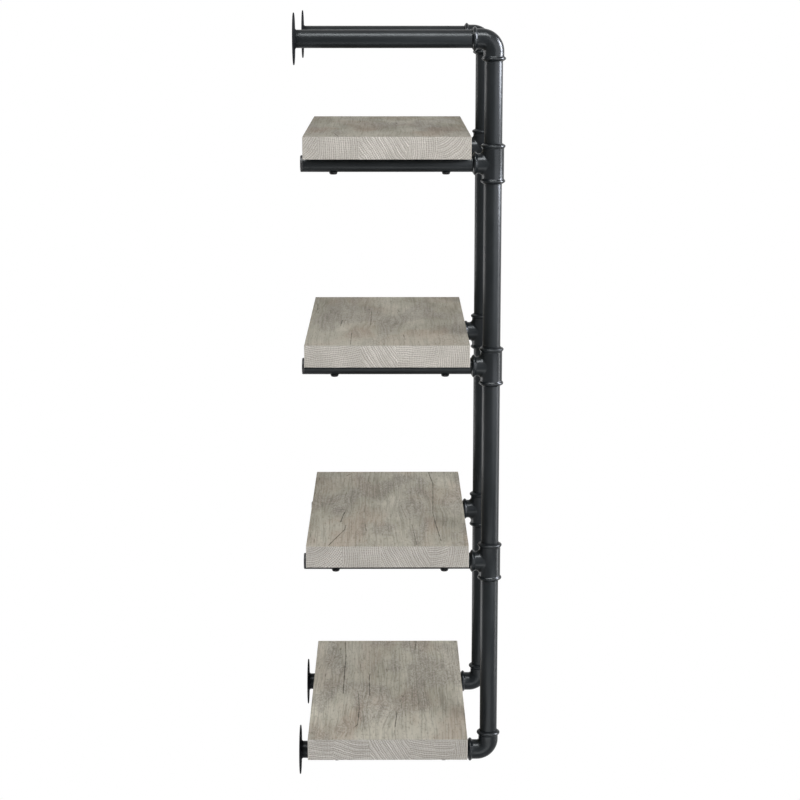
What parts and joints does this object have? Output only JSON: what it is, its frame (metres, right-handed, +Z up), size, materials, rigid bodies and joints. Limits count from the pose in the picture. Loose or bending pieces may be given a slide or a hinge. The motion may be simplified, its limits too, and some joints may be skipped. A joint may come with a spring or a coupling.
{
  "type": "wall shelf",
  "caption": "Tall open wall shelf with thick grey wooden boards carried on two black pipe frames that fasten to the wall by round flanges.",
  "frame": {"origin": "on the wall, midway between the four wall flanges", "axes": "+X along the boards, +Y into the wall, +Z up; the boards stand out towards -Y"},
  "size_m": [0.61, 0.3909, 1.4666],
  "materials": {
    "pipe_coat": "satin black powder coat on steel pipe",
    "fitting_coat": "satin black coat on cast fittings, slightly rough",
    "flange_coat": "satin black powder coat on steel plate",
    "screw_coat": "black zinc on steel",
    "cap_plastic": "black moulded plastic",
    "board_wood": "weathered grey wood, matt, with knots and fine cracks",
    "edge_band": "pale grey edging with an end grain pattern, matt"
  },
  "bodies": {
    "root": {"left_top_flange": "flange_coat", "left_top_arm": "pipe_coat", "left_top_elbow": "fitting_coat", "left_bottom_flange": "flange_coat", "left_bottom_arm": "pipe_coat", "left_bottom_elbow": "fitting_coat", "left_tee_1": "fitting_coat", "left_support_tube_1": "pipe_coat", "left_tube_cap_1": "cap_plastic", "left_tee_2": "fitting_coat", "left_support_tube_2": "pipe_coat", "left_tube_cap_2": "cap_plastic", "left_tee_3": "fitting_coat", "left_support_tube_3": "pipe_coat", "left_tube_cap_3": "cap_plastic", "left_upright_1": "pipe_coat", "left_upright_2": "pipe_coat", "left_upright_3": "pipe_coat", "left_upright_4": "pipe_coat", "right_top_flange": "flange_coat", "right_top_arm": "pipe_coat", "right_top_elbow": "fitting_coat", "right_bottom_flange": "flange_coat", "right_bottom_arm": "pipe_coat", "right_bottom_elbow": "fitting_coat", "right_tee_1": "fitting_coat", "right_support_tube_1": "pipe_coat", "right_tube_cap_1": "cap_plastic", "right_tee_2": "fitting_coat", "right_support_tube_2": "pipe_coat", "right_tube_cap_2": "cap_plastic", "right_tee_3": "fitting_coat", "right_support_tube_3": "pipe_coat", "right_tube_cap_3": "cap_plastic", "right_upright_1": "pipe_coat", "right_upright_2": "pipe_coat", "right_upright_3": "pipe_coat", "right_upright_4": "pipe_coat", "board_1": "board_wood", "board_1_edge_bands": "edge_band", "board_1_screws": "screw_coat", "board_2": "board_wood", "board_2_edge_bands": "edge_band", "board_2_screws": "screw_coat", "board_3": "board_wood", "board_3_edge_bands": "edge_band", "board_3_screws": "screw_coat", "board_4": "board_wood", "board_4_edge_bands": "edge_band", "board_4_screws": "screw_coat"}
  },
  "joints": []
}
